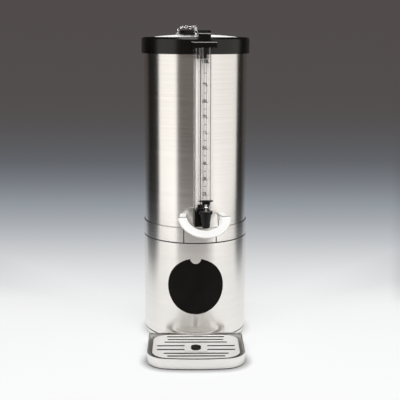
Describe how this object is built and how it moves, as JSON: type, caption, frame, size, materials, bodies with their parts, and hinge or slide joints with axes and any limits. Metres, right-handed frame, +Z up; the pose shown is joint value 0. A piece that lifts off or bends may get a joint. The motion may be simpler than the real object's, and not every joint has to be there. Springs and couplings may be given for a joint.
{
  "type": "insulated beverage dispenser",
  "caption": "Tall round insulated dispenser: a container with sight gauge and lever tap that turns on a hollow stand, with a lift-off lid, chained fill plug and drip tray.",
  "frame": {"origin": "on the stand's axis at table height, under the feet", "axes": "+Z up along the stand's axis, -Y to the front where the tray and the tap are, +X to the right of someone facing it"},
  "size_m": [0.2294, 0.3721, 0.6686],
  "materials": {
    "steel": "vertical brushed",
    "inner_steel": "satin",
    "grille_steel": "fine brushed",
    "fittings": "polished",
    "black_plastic": "satin moulded",
    "black_gloss": "semi gloss",
    "white_plastic": "smooth",
    "clear": "clear",
    "print": "printed strip",
    "rubber": "matt",
    "silicone": "translucent",
    "foam": "foamed"
  },
  "bodies": {
    "stand": {"rubber_feet": "rubber", "base_plate": "inner_steel", "base_ring": "steel", "stand_shell": "steel", "window_panel": "black_plastic", "support_deck": "inner_steel", "collar_ring": "steel", "collar_front_plate": "steel"},
    "tray": {"drip_tray": "steel", "tray_pads": "rubber"},
    "grille": {"drip_grille": "grille_steel"},
    "container": {"outer_shell": "steel", "inner_vessel": "inner_steel", "vessel_floor": "inner_steel", "vessel_neck": "inner_steel", "insulation_foam": "foam", "container_base": "black_plastic", "neck_ring": "black_plastic", "tap_plate": "steel", "tap_shank": "fittings", "shank_nut": "fittings", "shank_seals": "silicone", "gauge_block": "black_gloss", "tube_nut": "black_plastic", "gauge_tube": "clear", "tube_seals": "silicone", "gauge_shield": "clear", "gauge_scale": "print", "gauge_bracket": "black_plastic", "gauge_plate": "black_gloss", "gauge_cap": "black_gloss", "tap_body": "black_gloss", "tap_bonnet": "black_plastic", "tap_guard": "white_plastic", "guard_screws": "fittings"},
    "stem": {"tap_stem": "fittings", "seat_cup": "silicone", "lever_pin": "fittings"},
    "lever": {"tap_lever": "black_gloss"},
    "lid": {"lid_rim": "black_gloss", "lid_top": "steel", "lid_liner": "black_plastic", "lid_gasket": "silicone", "chain_anchors": "fittings", "plug_chain": "fittings", "chain_eye": "fittings"},
    "plug": {"fill_plug": "black_plastic", "plug_seal": "silicone"}
  },
  "joints": [
    {"name": "tray_pull", "type": "slide", "parent": "stand", "child": "tray", "axis": [0, -1, 0], "range_m": [0, 0.15]},
    {"name": "grille_lift", "type": "slide", "parent": "tray", "child": "grille", "axis": [0, 0, 1], "range_m": [0, 0.1]},
    {"name": "container_turn", "type": "hinge", "parent": "stand", "child": "container", "pos_m": [0, 0, 0.2209], "axis": [0, 0, 1], "continuous": true},
    {"name": "lid_lift", "type": "slide", "parent": "container", "child": "lid", "axis": [0, 0, 1], "range_m": [0, 0.2]},
    {"name": "plug_turn", "type": "hinge", "parent": "lid", "child": "plug", "pos_m": [0, 0, 0.65], "axis": [0, 0, 1], "range_deg": [0, 90]},
    {"name": "lever_tilt", "type": "hinge", "parent": "stem", "child": "lever", "pos_m": [0.01995, -0.15573, 0.30475], "axis": [0.9919, 0.1271, 0], "range_deg": [0, 35], "stiffness_Nm_per_rad": 0.1},
    {"name": "stem_lift", "type": "slide", "parent": "container", "child": "stem", "axis": [0, 0, 1], "range_m": [0, 0.005]}
  ],
  "couplings": [
    {"joint": "stem_lift", "follows": "lever_tilt", "m_per_rad": 0.008021}
  ]
}
